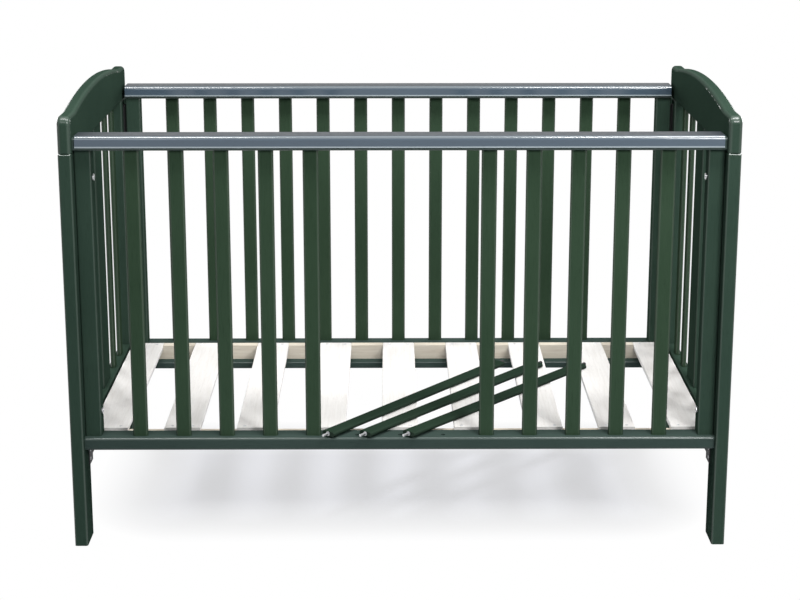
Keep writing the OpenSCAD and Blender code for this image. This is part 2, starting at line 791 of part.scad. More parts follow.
module catch_bushes() {
    color(dark_plastic) for (side = [-1, 1]) on_side(side) translate([0, catch_y, catch_z]) difference() {
        rod_x(drop_x - catch_bush_length, drop_x, catch_chamber_d - 2 * joint_clear);
        rod_x(drop_x - catch_bush_length - cut_extra, drop_x + cut_extra, catch_bolt_d + 2 * pin_clear);
    }
}

// Catch bolt drawn back from the leg, with its collar, post and knob
module catch_bolt() {
    translate([0, catch_y, catch_z]) {
        rod_x(catch_bolt_start, catch_bolt_end, catch_bolt_d);
        rod_x(catch_collar_x, catch_collar_x + catch_collar, catch_collar_d);
    }
    translate([catch_post_x, catch_y, catch_knob_top - catch_knob_height]) {
        cylinder(h = catch_z - catch_knob_top + catch_knob_height, d = catch_post_d);
        cylinder(h = catch_knob_height, d = catch_knob_d);
    }
}

// Coil spring along +X from 0, as one unbroken tube of six sides that leaves the bore clear
module coil_spring(length, bore, wire, turns) {
    rings = spring_steps * turns;
    sides = 6;
    run = length - 2 * wire;
    coil_radius = (bore + wire) / 2 / cos(180 / spring_steps);
    function ring_point(i, j) = let (
            angle = 360 * i / spring_steps,
            spoke = coil_radius + wire / 2 * cos(360 * j / sides)
        ) [
            wire + run * i / rings + wire / 2 * sin(360 * j / sides),
            spoke * cos(angle),
            spoke * sin(angle)
        ];
    points = [for (i = [0:rings], j = [0:sides - 1]) ring_point(i, j)];
    walls = [for (i = [0:rings - 1], j = [0:sides - 1]) let (
            a = i * sides + j, b = i * sides + (j + 1) % sides
        ) each [[a, b, a + sides], [b, b + sides, a + sides]]];
    first = [for (j = [1:sides - 2]) [0, j + 1, j]];
    last = [for (j = [1:sides - 2]) [rings * sides, rings * sides + j, rings * sides + j + 1]];
    polyhedron(points, concat(walls, first, last));
}

module catch_spring() {
    start = drop_x - catch_chamber;
    bore = catch_bolt_d + 2 * catch_spring_clear;
    translate([start, catch_y, catch_z]) coil_spring(catch_collar_x - start - catch_spring_clear, bore,
        catch_spring_wire, catch_spring_turns);
}

module left_catch_bolt() { color(steel) on_side(-1) catch_bolt(); }
module right_catch_bolt() { color(steel) catch_bolt(); }
module left_catch_spring() { color(steel) on_side(-1) catch_spring(); }
module right_catch_spring() { color(steel) catch_spring(); }

// Base: slats that lie on a low front bearer and are let flush into a full back one
module bearer(y, top) {
    difference() {
        translate([-bearer_half, y - bearer_width / 2, base_z])
            cube([2 * bearer_half, bearer_width, top - base_z]);
        base_screw_set(joint_clear);
    }
}

module slat_notches(y) {
    notch = base_slat_width + 2 * joint_clear;
    for (x = base_slat_x) translate([x - notch / 2, y - bearer_width, slat_bed_z])
        cube([notch, 2 * bearer_width, base_slat_thick + cut_extra]);
}

module base_screw_set(grow = 0) {
    for (x = base_slat_x, offset = [-base_screw_offset, base_screw_offset],
            y = [front_bearer_y, back_bearer_y])
        translate([x + offset, y, base_top]) rotate([180, 0, 0])
            countersunk_screw(base_screw_length, 2 * screw_d, base_screw_head, grow);
}

module base_front_bearer() { color(raw_wood) bearer(front_bearer_y, slat_bed_z); }

module base_back_bearer() {
    color(raw_wood) difference() {
        bearer(back_bearer_y, base_top);
        slat_notches(back_bearer_y);
    }
}

module base_slats() {
    color(whitewash) difference() {
        for (x = base_slat_x)
            translate([x, (base_slat_start + base_slat_end) / 2, base_top - base_slat_thick / 2])
                along_y(base_slat_end - base_slat_start)
                    rounded_rect(base_slat_width, base_slat_thick, base_slat_round);
        base_screw_set(joint_clear);
    }
}

module base_screws() { color(steel) base_screw_set(); }

// Puts a bar's own axis, pin tip at 0 and peg along +X, where bar number i lies on the base
module lay_bar(i) {
    translate([lying_x[i] - open_edge, lying_tip_y, bar_z]) rotate([0, 0, lying_turn[i]]) children();
}

module bar(i) {
    lay_bar(i) translate([pin_reach, 0, 0]) difference() {
        translate([(bar_length + ferrule_thick) / 2, 0, 0])
            along_x(bar_length - ferrule_thick) slat_section();
        rod_x(0, sleeve_length + joint_clear, sleeve_d + 2 * joint_clear);
        rod_x(bar_length - peg_shank, bar_length + cut_extra, peg_shank_d + 2 * joint_clear);
    }
}

module bar_peg(i) {
    lay_bar(i) translate([pin_reach, 0, 0]) {
        rod_x(bar_length - peg_shank, bar_length, peg_shank_d);
        rod_x(bar_length, bar_length + peg_reach - tip_bevel, peg_d);
        translate([bar_length + peg_reach - tip_bevel, 0, 0]) rotate([0, 90, 0])
            cylinder(h = tip_bevel, d1 = peg_d, d2 = peg_d - 2 * tip_bevel);
    }
}

module bar_sleeve(i) {
    lay_bar(i) translate([pin_reach, 0, 0]) difference() {
        union() {
            rod_x(0, sleeve_length, sleeve_d);
            rod_x(0, ferrule_thick, ferrule_d);
        }
        rod_x(ferrule_thick + sleeve_lip, sleeve_length - sleeve_end, sleeve_bore);
        rod_x(-cut_extra, ferrule_thick + cut_extra, pin_d + 2 * pin_clear);
    }
}

module bar_pin(i) {
    start = pin_reach + ferrule_thick + sleeve_lip + pin_clear;
    lay_bar(i) {
        rod_x(tip_bevel, start + collar_length / 2, pin_d);
        rotate([0, 90, 0]) cylinder(h = tip_bevel, d1 = pin_d - 2 * tip_bevel, d2 = pin_d);
        rod_x(start, start + collar_length, collar_d);
    }
}

module bar_spring(i) {
    start = pin_reach + ferrule_thick + sleeve_lip + collar_length + 2 * pin_clear;
    end = pin_reach + sleeve_length - sleeve_end - pin_clear;
    lay_bar(i) translate([start, 0, 0])
        coil_spring(end - start, sleeve_bore - 2 * (bar_spring_wire + bar_spring_room), bar_spring_wire,
            bar_spring_turns);
}

module left_bar() { color(slat_green) bar(0); }
module middle_bar() { color(slat_green) bar(1); }
module right_bar() { color(slat_green) bar(2); }
module left_bar_peg() { color(dark_plastic) bar_peg(0); }
module middle_bar_peg() { color(dark_plastic) bar_peg(1); }
module right_bar_peg() { color(dark_plastic) bar_peg(2); }
module left_bar_sleeve() { color(steel) bar_sleeve(0); }
module middle_bar_sleeve() { color(steel) bar_sleeve(1); }
module right_bar_sleeve() { color(steel) bar_sleeve(2); }
module left_bar_pin() { color(steel) bar_pin(0); }
module middle_bar_pin() { color(steel) bar_pin(1); }
module right_bar_pin() { color(steel) bar_pin(2); }
module left_bar_spring() { color(steel) bar_spring(0); }
module middle_bar_spring() { color(steel) bar_spring(1); }
module right_bar_spring() { color(steel) bar_spring(2); }

left_front_leg();
right_front_leg();
left_back_leg();
right_back_leg();
left_arched_rail();
right_arched_rail();
left_end_bottom_rail();
right_end_bottom_rail();
left_end_board();
right_end_board();
left_end_slats();
right_end_slats();
frame_dowels();
foot_glides();
front_top_rail();
front_bottom_rail();
front_left_stile();
front_right_stile();
front_slats();
front_teething_cap();
side_bolts();
side_inserts();
guide_tracks();
fitting_screws();
back_stretcher();
stretcher_bolts();
stretcher_nuts();
base_brackets();
back_top_rail();
back_bottom_rail();
back_left_stile();
back_right_stile();
back_slats();
back_dowels();
back_teething_cap();
drop_side_runners();
catch_bushes();
left_catch_bolt();
right_catch_bolt();
left_catch_spring();
right_catch_spring();
base_front_bearer();
base_back_bearer();
base_slats();
base_screws();
left_bar();
middle_bar();
right_bar();
left_bar_peg();
middle_bar_peg();
right_bar_peg();
left_bar_sleeve();
middle_bar_sleeve();
right_bar_sleeve();
left_bar_pin();
middle_bar_pin();
right_bar_pin();
left_bar_spring();
middle_bar_spring();
right_bar_spring();
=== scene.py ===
"""Baby cot in dark green satin paint, seen slightly from above on a white studio floor.

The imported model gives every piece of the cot. This script finishes their surfaces, puts screws with
recess and thread and finer pin springs in place of the plain ones, and sets the floor, the lights and
the camera. Lengths are in metres, the turns of the camera and the bars in degrees, colours are linear.
"""
import math

import bpy
import numpy as np
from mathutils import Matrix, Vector


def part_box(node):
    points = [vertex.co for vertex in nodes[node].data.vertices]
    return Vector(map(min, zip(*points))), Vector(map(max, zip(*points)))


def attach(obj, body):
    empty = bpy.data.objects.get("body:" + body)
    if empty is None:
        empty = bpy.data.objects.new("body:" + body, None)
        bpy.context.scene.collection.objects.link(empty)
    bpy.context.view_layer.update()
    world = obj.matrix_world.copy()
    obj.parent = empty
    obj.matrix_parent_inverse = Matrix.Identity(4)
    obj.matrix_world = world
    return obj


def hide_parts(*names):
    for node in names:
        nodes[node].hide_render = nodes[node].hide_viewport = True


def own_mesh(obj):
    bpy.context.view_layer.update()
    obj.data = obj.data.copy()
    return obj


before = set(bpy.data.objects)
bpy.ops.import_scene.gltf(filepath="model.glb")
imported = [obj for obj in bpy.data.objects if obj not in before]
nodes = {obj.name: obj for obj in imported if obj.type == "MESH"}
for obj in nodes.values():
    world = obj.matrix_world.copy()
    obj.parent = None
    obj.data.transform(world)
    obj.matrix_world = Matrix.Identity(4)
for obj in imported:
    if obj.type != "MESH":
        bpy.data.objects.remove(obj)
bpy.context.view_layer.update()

# Camera
CAMERA_AT = (-0.018, -3.356, 1.366)
CAMERA_PITCH = 12.83
CAMERA_YAW = -0.34
CAMERA_FOCAL_PX = 1689.4
CAMERA_SHIFT = -0.12
CAMERA_REACH = 100.0
IMAGE_WIDTH = 800
SENSOR_MM = 36.0

# Lamps: name, place, the point that each faces, width and height, watts
LAMPS = (
    ("overhead", (0.1, -0.3, 3.2), (0.0, 0.0, 0.3), (3.0, 2.4), 28.0),
    ("strip_left", (-0.75, -0.8, 2.9), (-0.2, -0.1, 0.3), (0.8, 0.28), 27.0),
    ("strip_right", (0.85, -0.8, 2.9), (0.25, -0.1, 0.3), (1.1, 0.34), 54.0),
    ("front_left", (-1.1, -2.5, 1.9), (0.0, -0.2, 0.5), (0.8, 0.9), 7.0),
    ("front_right", (1.3, -2.4, 1.9), (0.1, -0.2, 0.5), (0.8, 0.9), 58.0),
    ("back_left", (-2.2, 2.7, 0.9), (0.0, 0.2, 0.45), (1.2, 1.0), 90.0),
    ("back_right", (2.2, 2.7, 0.9), (0.0, 0.2, 0.45), (1.2, 1.0), 90.0),
)
WORLD_LEVEL = 0.15

# Floor: half its width, its own colour, the box under the cot that keeps the shadow, the distances from
# that box over which it goes to white, and the white that is laid over the shadow itself
FLOOR_HALF = 40.0
FLOOR_COLOUR = (0.39, 0.40, 0.45)
SHADE_MIDDLE = (0.0, 0.03, 0.0)
SHADE_HALF = (0.42, 0.12, 0.0)
SHADE_FADE = (0.0, 0.22)
SHADE_LIFT = 0.54
WHITE = (1, 1, 1)

# Paints: a deep and a light tone each, the pores, and the painted shade on faces that look along the cot:
# the share of the deep tone that is left in it, and how much of that goes over them
FRAME_PAINT = ((0.024, 0.044, 0.032), (0.033, 0.058, 0.042))
# The rails' tones are lighter and bluer than the frame's: a painted reflection of the pale floor
RAIL_SHEEN_PAINT = ((0.031, 0.048, 0.042), (0.042, 0.063, 0.055))
SLAT_PAINT = ((0.025, 0.047, 0.027), (0.035, 0.062, 0.037))
# The lying bars' tones are darker than the slats': painted shade for the weak light that falls on them
BAR_SHADE_PAINT = ((0.015, 0.028, 0.019), (0.021, 0.038, 0.025))
PAINT_PORE = (0.006, 0.014, 0.008)
SIDE_SHADE_TONE = 0.35
SIDE_SHADE_AMOUNT = 0.42

# Gloss of the paint: on rounded edges, on those of the lying bars, and what top edges keep of it
PAINT_GLOSS = 0.8
BAR_GLOSS = 0.15
TOP_EDGE_GLOSS = 0.12
PAINT_ROUGH = 0.34
PAINT_COAT_ROUGH = 0.26

# Clear caps: the body's two tones, the painted shade on the top, the painted highlights on the rounded
# edges and on the cut lip, and the lip's height
CAP_SMOKE = (0.047, 0.070, 0.095)
CAP_SMOKE_PALE = (0.060, 0.088, 0.116)
CAP_TOP_SHADE = (0.030, 0.036, 0.042)
CAP_EDGE_HIGHLIGHT = (0.10, 0.12, 0.135)
CAP_LIP_HIGHLIGHT = (0.30, 0.35, 0.37)
CAP_LIP = 0.0034
CAP_ROUGH = 0.12
CAP_TOP_ROUGH = 0.25
CAP_COAT_ROUGH = 0.11
CAP_SPECULAR = 0.12

# Bare woods: pale and dark tone, roughness, and how strongly the growth lines show
WHITEWASHED = ((0.73, 0.715, 0.70), (0.57, 0.54, 0.51), 0.62, 0.45)
RAW = ((0.62, 0.57, 0.48), (0.47, 0.40, 0.31), 0.58, 0.55)
BEECH = ((0.60, 0.42, 0.26), (0.42, 0.27, 0.15), 0.5, 0.55)
WOOD_SPECULAR = 0.3
PORE_TONE = 0.6

# Metal and plastic
STEEL = (0.62, 0.62, 0.63)
STEEL_DULL = (0.50, 0.51, 0.53)
STEEL_ROUGH = 0.22
BLACK = (0.018, 0.019, 0.019)
BLACK_WORN = (0.030, 0.031, 0.032)
BLACK_ROUGH = 0.5
BLACK_SPECULAR = 0.15

# Noise counts from the first value and in full from the second
CLOUDS = (0.3, 0.7)
CAP_CLOUDS = (0.35, 0.75)
PAINT_PORES = (0.56, 0.72)
WOOD_PORES = (0.6, 0.74)
WOOD_LINES = (0.40, 0.72)

# A face lies so, by its normal, from the first value and in full from the second
FLAT = (0.94, 0.995)
LOOKS_AHEAD = (0.15, 0.5)
LOOKS_ALONG = (0.5, 0.95)
LOOKS_UP = (0.86, 0.99)
CAP_ROUNDED = (0.05, 0.2)

# How far a grain pattern is drawn out along a piece
STRETCH = 0.04
ALONG = {"x": (STRETCH, 1, 1), "y": (1, STRETCH, 1), "z": (1, 1, STRETCH)}
CAP_STRETCH = (0.03, 1, 1)
STEEL_STRETCH = (1, 1, 0.05)

# Sockets of Blender's Mix node when it mixes colours
MIX_AMOUNT, MIX_FIRST, MIX_SECOND, MIX_RESULT = 0, 6, 7, 2

# Pieces that go together, and the turn of each loose bar on the base
UPRIGHT_SETS = ("left_end_slats", "right_end_slats", "front_slats", "back_slats")
BLACK_STEEL_PIECES = ("base_brackets", "guide_tracks")
BLACK_NYLON_PIECES = ("foot_glides", "drop_side_runners", "catch_bushes")
STEEL_WORDS = ("bolt", "nut", "insert", "screw", "sleeve", "pin", "spring")
BAR_TURNS = {"left_bar": 50.4, "middle_bar": 49.0, "right_bar": 47.6}

# Screws: sides, rings over the head and along the thread, the least distance between two screws, the
# radians by which each is turned against its neighbour along two directions, and the sizes of both kinds
SCREW_SIDES = 32
HEAD_RINGS = 12
THREAD_RINGS = 24
SCREW_GAP = 0.008
BASE_SPINS = (0.7, 1.9)
FITTING_SPINS = (0.4, 0.9)
BASE_SCREW = {"head_radius": 0.0035, "head_depth": 0.003, "shank_radius": 0.0016}
FITTING_SCREW = {"head_radius": 0.00325, "head_depth": 0.0012, "shank_radius": 0.0016, "length": 0.016}

# Shares of a screw's head radius: the rings over it, its bevel, half a recess arm's width and length,
# and the slope that ends each of those two
HEAD_SPAN = (0.02, 0.97)
HEAD_BEVEL = 0.03
ARM_WIDTH = 0.20
ARM_LENGTH = 0.72
WIDTH_SLOPE = 0.10
LENGTH_SLOPE = 0.16

# The recess as a share of the head's depth, the thread's swell and the tip as shares of the shank's
# radius, and the rings in one turn of thread
RECESS_DEPTH = 0.55
THREAD_SWELL = 0.16
TIP = 0.05
THREAD_PITCH_RINGS = 4

# Pin springs: steps in a turn, sides and thickness of the wire, turns, and how far a pin pushes in
SPRING_STEPS = 24
SPRING_SIDES = 8
SPRING_WIRE = 0.0006
SPRING_TURNS = 10
PIN_TRAVEL = 0.0142


class Sock:
    """A shader socket, with arithmetic that adds Math nodes."""

    def __init__(self, maker, socket):
        self.maker = maker
        self.socket = socket

    def _math(self, operation, first, second):
        return self.maker.node("ShaderNodeMath", {"operation": operation}, {0: first, 1: second})

    def __add__(self, other):
        return self._math("ADD", self, other)

    def __sub__(self, other):
        return self._math("SUBTRACT", self, other)

    def __rsub__(self, other):
        return self._math("SUBTRACT", other, self)

    def __mul__(self, other):
        return self._math("MULTIPLY", self, other)

    __radd__ = __add__
    __rmul__ = __mul__

    def greater(self, other):
        return self._math("MAXIMUM", self, other)

    def clamped(self):
        return self.maker.node("ShaderNodeClamp", {}, {"Value": self})


class Shading:
    """The nodes of a material or of the world: node() adds one and hands back one of its outputs."""

    def __init__(self, owner):
        self.owner = owner
        owner.use_nodes = True
        self.tree = owner.node_tree
        self.tree.nodes.clear()

    def node(self, kind, settings, inputs, output=0):
        made = self.tree.nodes.new(kind)
        for key, value in settings.items():
            setattr(made, key, value)
        for key, value in inputs.items():
            socket = made.inputs[key]
            if isinstance(value, Sock):
                self.tree.links.new(value.socket, socket)
            elif socket.type == "RGBA":
                socket.default_value = (*value, 1.0)
            else:
                socket.default_value = value
        return Sock(self, made.outputs[output]) if len(made.outputs) else None

    def place(self, scale=(1, 1, 1), turn=0.0):
        """Object coordinates, turned about Z by so many radians and then scaled."""
        at = self.node("ShaderNodeTexCoord", {}, {}, "Object")
        turned = self.node("ShaderNodeMapping", {}, {"Vector": at, "Rotation": (0, 0, turn)})
        return self.node("ShaderNodeMapping", {}, {"Vector": turned, "Scale": scale})

    def noise(self, place, cells, detail, roughness=0.5):
        """Soft noise with so many cells to a metre, from 0 to 1 about one half."""
        return self.node("ShaderNodeTexNoise", {}, {
            "Vector": place, "Scale": cells, "Detail": detail, "Roughness": roughness}, "Fac")

    def ramp(self, value, low, high):
        """0 below low, 1 above high, straight between."""
        return self.node("ShaderNodeMapRange", {"clamp": True}, {
            "Value": value, "From Min": low, "From Max": high})

    def blend(self, amount, first, second):
        """The first colour at amount 0, the second at 1."""
        return self.node("ShaderNodeMix", {"data_type": "RGBA"}, {
            MIX_AMOUNT: amount, MIX_FIRST: first, MIX_SECOND: second}, MIX_RESULT)

    def vector(self, operation, *vectors, output=0):
        """Vector maths on one or two vectors."""
        return self.node("ShaderNodeVectorMath", {"operation": operation}, dict(enumerate(vectors)), output)

    def facing(self):
        """The normal, in the cot's own directions."""
        return self.node("ShaderNodeTexCoord", {}, {}, "Normal")

    def part_of(self, vector, axis):
        """One part of a vector."""
        return self.node("ShaderNodeSeparateXYZ", {}, {"Vector": vector}, axis)

    def bump(self, height, distance, strength):
        """The normal, tilted as by a relief of the given height."""
        return self.node("ShaderNodeBump", {}, {
            "Height": height, "Distance": distance, "Strength": strength})

    def seen(self):
        """1 where the eye looks, directly, in a reflection or through clear plastic, 0 for other light."""
        eye, shiny, through = (self.node("ShaderNodeLightPath", {}, {}, f"Is {ray} Ray")
                               for ray in ("Camera", "Glossy", "Transmission"))
        return eye.greater(shiny).greater(through)

    def finish(self, sockets):
        """A Principled shader with the given sockets, straight to the output."""
        shader = self.node("ShaderNodeBsdfPrincipled", {}, sockets)
        self.node("ShaderNodeOutputMaterial", {}, {"Surface": shader})
        return self.owner


def new_material(name):
    """An empty material to be filled with nodes."""
    return Shading(bpy.data.materials.new(name))


def darker(colour, share):
    """A colour times a share."""
    return tuple(share * part for part in colour)


def painted_wood(name, along, paint, turn=0.0, gloss=PAINT_GLOSS):
    """Satin paint over closed-grain wood, with faint grain along the piece and a sprayed skin.

    The flat faces are rubbed down matt, and those that look along the cot get painted shade, a tone deeper.
    The rounded edges keep the gloss: there the normal leans away from all three axes, so its largest part
    falls below 1. Edges that face neither front nor back are handled most and have little gloss left.
    """
    m = new_material(name)
    drawn = m.place(ALONG[along], turn)
    still = m.place()
    grain = m.noise(drawn, cells=420.0, detail=4.0, roughness=0.6)
    pores = m.ramp(m.noise(drawn, cells=900.0, detail=2.0), *PAINT_PORES)
    skin = m.noise(still, cells=700.0, detail=2.0, roughness=0.4)
    tone = m.ramp(m.noise(still, cells=5.0, detail=2.0), *CLOUDS)
    rubbed = m.ramp(m.noise(still, cells=60.0, detail=3.0), *CLOUDS)
    leaning = m.vector("ABSOLUTE", m.facing())
    aside, ahead, up = (m.part_of(leaning, axis) for axis in "XYZ")
    rounded = 1 - m.ramp(aside.greater(ahead).greater(up), *FLAT)
    kept = TOP_EDGE_GLOSS + (1 - TOP_EDGE_GLOSS) * m.ramp(ahead, *LOOKS_AHEAD)
    colour = m.blend(0.6 * tone + 0.4 * grain, *paint)
    colour = m.blend(0.25 * pores, colour, PAINT_PORE)
    # painted shade: faces that look along the cot are darkened towards a share of the deep tone
    colour = m.blend(SIDE_SHADE_AMOUNT * m.ramp(aside, *LOOKS_ALONG), colour, darker(paint[0], SIDE_SHADE_TONE))
    height = 0.5 * grain + 0.5 * skin - 0.35 * pores
    return m.finish({
        "Base Color": colour,
        "Roughness": PAINT_ROUGH + 0.10 * rubbed + 0.05 * grain,
        "Specular IOR Level": 0.0,
        "Coat Weight": rounded * kept * gloss,
        "Coat Roughness": PAINT_COAT_ROUGH,
        "Normal": m.bump(height, distance=0.00016, strength=0.5),
    })


def clear_cap(lip_z):
    """Clear smoke-grey plastic, with painted highlights on its rounded top edges and along the cut lower
    lip, and painted shade on its flat top.

    The rounded edges are where the surface faces both up and sideways, so their share is the product of
    the squared upright and sideways parts of the normal. The lip is the last millimetres above lip_z.
    """
    m = new_material("smoke_plastic")
    flow = m.noise(m.place(CAP_STRETCH), cells=160.0, detail=2.0)
    tone = m.ramp(m.noise(m.place(), cells=7.0, detail=2.0), *CLOUDS)
    rubbed = m.ramp(m.noise(m.place(), cells=90.0, detail=3.0), *CAP_CLOUDS)
    facing = m.facing()
    side = m.part_of(facing, "Y")
    up = m.part_of(facing, "Z")
    edge = m.ramp(side * side * up * up, *CAP_ROUNDED)
    top = m.ramp(up, *LOOKS_UP)
    lip = 1 - m.ramp(m.part_of(m.place(), "Z"), lip_z + CAP_LIP / 2, lip_z + CAP_LIP)
    colour = m.blend(0.5 * tone + 0.3 * flow, CAP_SMOKE, CAP_SMOKE_PALE)
    # painted shade: the flat top is darker than the rest of the cap
    colour = m.blend(top, colour, CAP_TOP_SHADE)
    # painted highlight: a light line along the cut lower lip
    colour = m.blend(lip * (0.75 + 0.25 * flow), colour, CAP_LIP_HIGHLIGHT)
    # painted highlight: the rounded top edges are lighter
    colour = m.blend(edge * (0.9 + 0.1 * flow), colour, CAP_EDGE_HIGHLIGHT)
    return m.finish({
        "Base Color": colour,
        "Roughness": CAP_ROUGH + 0.08 * rubbed + CAP_TOP_ROUGH * top,
        "Specular IOR Level": CAP_SPECULAR,
        "Coat Weight": 1 - top,
        "Coat Roughness": CAP_COAT_ROUGH,
        "Normal": m.bump(flow, distance=0.00012, strength=0.3),
    })


def bare_wood(name, along, pale, dark, roughness, streaks):
    """Sawn and sanded wood: growth lines drawn out along the piece, short pores, slow stain."""
    m = new_material(name)
    drawn = m.place(ALONG[along])
    wander = m.noise(drawn, cells=14.0, detail=3.0)
    lines = m.noise(drawn, cells=190.0, detail=5.0, roughness=0.65)
    fine = m.noise(drawn, cells=650.0, detail=3.0, roughness=0.6)
    pores = m.ramp(m.noise(drawn, cells=1100.0, detail=2.0), *WOOD_PORES)
    stain = m.ramp(m.noise(m.place(), cells=4.0, detail=2.0), *CLOUDS)
    amount = streaks * m.ramp(lines, *WOOD_LINES) + 0.25 * (fine - 0.5) + 0.30 * (wander - 0.4)
    colour = m.blend((amount + 0.12 * stain).clamped(), pale, dark)
    colour = m.blend(0.35 * pores, colour, darker(dark, PORE_TONE))
    height = 0.6 * lines + 0.4 * fine - 0.6 * pores
    return m.finish({
        "Base Color": colour,
        "Roughness": roughness + 0.12 * (fine - 0.5),
        "Specular IOR Level": WOOD_SPECULAR,
        "Normal": m.bump(height, distance=0.0003, strength=0.6),
    })


def zinc_steel():
    """Bright zinc plate: a soft mottled sheen with drawn lines."""
    m = new_material("zinc_plate")
    mottle = m.noise(m.place(), cells=260.0, detail=3.0)
    lines = m.noise(m.place(STEEL_STRETCH), cells=1800.0, detail=2.0)
    return m.finish({
        "Base Color": m.blend(m.ramp(mottle, *CLOUDS), STEEL, STEEL_DULL),
        "Metallic": 1.0,
        "Roughness": STEEL_ROUGH + 0.16 * mottle,
        "Normal": m.bump(0.5 * lines + 0.5 * mottle, distance=0.00006, strength=0.5),
    })


def matt_black(name):
    """Matt black with a fine spark-eroded grain."""
    m = new_material(name)
    spark = m.noise(m.place(), cells=1600.0, detail=2.0)
    tone = m.noise(m.place(), cells=30.0, detail=2.0)
    return m.finish({
        "Base Color": m.blend(tone, BLACK, BLACK_WORN),
        "Roughness": BLACK_ROUGH + 0.12 * spark,
        "Specular IOR Level": BLACK_SPECULAR,
        "Normal": m.bump(spark, distance=0.00008, strength=0.5),
    })


def direction_of(node):
    """The axis a piece runs along: the longest side of its box."""
    low, high = (np.array(corner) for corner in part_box(node))
    return "xyz"[int(np.argmax(high - low))]


def lying_paint(bar):
    """The paint of one loose bar, in darker tones as painted shade, its grain turned to run along it."""
    return painted_wood("green_" + bar, "x", BAR_SHADE_PAINT, -math.radians(BAR_TURNS[bar]), BAR_GLOSS)


def dress_cad_nodes(steel):
    """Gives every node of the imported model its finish, with the grain along the piece."""
    # pieces that run along X take the rails' tones, with the painted floor reflection
    frame_tones = {"x": RAIL_SHEEN_PAINT, "y": FRAME_PAINT, "z": FRAME_PAINT}
    frame_paint = {along: painted_wood("green_frame_" + along, along, paint)
                   for along, paint in frame_tones.items()}
    slat_paint = painted_wood("green_slats", "z", SLAT_PAINT)
    smoke = clear_cap(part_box("front_teething_cap")[0][2])
    black_nylon = matt_black("black_nylon")
    black_steel = matt_black("black_steel")
    slat_wood = bare_wood("whitewashed_slats", "y", *WHITEWASHED)
    bearer_wood = bare_wood("bare_bearers", "x", *RAW)
    dowel_wood = bare_wood("beech_dowels", "z", *BEECH)
    for name, obj in nodes.items():
        if "dowel" in name:
            finish = dowel_wood
        elif "teething" in name:
            finish = smoke
        elif name == "base_slats":
            finish = slat_wood
        elif "bearer" in name:
            finish = bearer_wood
        elif name in BAR_TURNS:
            finish = lying_paint(name)
        elif name.endswith("_peg") or name in BLACK_NYLON_PIECES:
            finish = black_nylon
        elif name in BLACK_STEEL_PIECES:
            finish = black_steel
        elif any(word in name for word in STEEL_WORDS):
            finish = steel
        elif name in UPRIGHT_SETS:
            finish = slat_paint
        else:
            finish = frame_paint[direction_of(name)]
        obj.data.materials.clear()
        obj.data.materials.append(finish)


def corners_of(node):
    """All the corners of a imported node's mesh, as an array."""
    mesh = nodes[node].data
    flat = np.empty(3 * len(mesh.vertices))
    mesh.vertices.foreach_get("co", flat)
    return flat.reshape(-1, 3)


def screw_rows(values):
    """Middles of the runs of values that lie closer together than two screws, and each value's run."""
    order = np.argsort(values)
    run = np.empty(len(values), int)
    run[order] = np.concatenate(([0], np.cumsum(np.diff(values[order]) > SCREW_GAP)))
    middles = [(values[run == i].min() + values[run == i].max()) / 2 for i in range(run.max() + 1)]
    return np.array(middles), run


def tube_walls(rings, sides):
    """Four-cornered faces between each ring of points and the next, each ring closed round."""
    ring = np.arange(rings - 1)[:, None] * sides
    here = np.arange(sides)[None, :]
    after = (here + 1) % sides
    walls = np.stack((ring + here, ring + sides + here, ring + sides + after, ring + after), -1)
    return walls.reshape(-1, 4).tolist()


def steel_piece(name, points, faces, steel, body, node):
    """A smooth-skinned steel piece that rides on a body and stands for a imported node."""
    mesh = bpy.data.meshes.new(name)
    mesh.from_pydata(points.tolist(), [], faces)
    mesh.update()
    mesh.polygons.foreach_set("use_smooth", [True] * len(mesh.polygons))
    mesh.materials.append(steel)
    piece = bpy.data.objects.new(name, mesh)
    bpy.context.scene.collection.objects.link(piece)
    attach(piece, body)
    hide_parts(node)
    return piece


def screw_shape(head_radius, head_depth, shank_radius, length):
    """A countersunk screw pointing down -Z from a head at height 0, closed all round.

    The skin is a grid of rings by angles. Each ring has a radius and a height: out over the flat head,
    down the cone, along the shank with its thread as a sine ripple, and to the point. The cross recess
    lowers the head by a smooth step of the distance to the nearer of two crossed slots.
    """
    head_r = np.linspace(*HEAD_SPAN, HEAD_RINGS) * head_radius
    thread_at = np.linspace(head_depth, length - 2 * shank_radius, THREAD_RINGS)
    ripple = 1 + THREAD_SWELL * np.sin(2 * np.pi * np.arange(THREAD_RINGS) / THREAD_PITCH_RINGS)
    radius = np.concatenate((head_r, [head_radius], shank_radius * ripple, [TIP * shank_radius]))
    height = np.concatenate((np.zeros(HEAD_RINGS), [-HEAD_BEVEL * head_radius], -thread_at, [-length]))
    angles = np.linspace(0, 2 * np.pi, SCREW_SIDES, endpoint=False)
    r, angle = np.meshgrid(radius, angles, indexing="ij")
    x, y = r * np.cos(angle), r * np.sin(angle)
    off_arm = np.minimum(np.abs(x), np.abs(y)) / head_radius
    across_arm = np.clip((ARM_WIDTH - off_arm) / WIDTH_SLOPE, 0, 1)
    along_arm = np.clip((ARM_LENGTH - r / head_radius) / LENGTH_SLOPE, 0, 1)
    on_head = (np.arange(len(radius)) < HEAD_RINGS)[:, None]
    z = height[:, None] - on_head * RECESS_DEPTH * head_depth * across_arm * along_arm
    skin = np.stack((x, y, z), axis=-1).reshape(-1, 3)
    points = np.vstack((skin, [0, 0, -RECESS_DEPTH * head_depth], [0, 0, -length]))
    here = np.arange(SCREW_SIDES)
    after = (here + 1) % SCREW_SIDES
    last_ring = len(skin) - SCREW_SIDES
    middle = np.full(SCREW_SIDES, len(skin))
    top = np.stack((middle, here, after), -1)
    end = np.stack((middle + 1, last_ring + after, last_ring + here), -1)
    return points, tube_walls(len(radius), SCREW_SIDES) + top.tolist() + end.tolist()


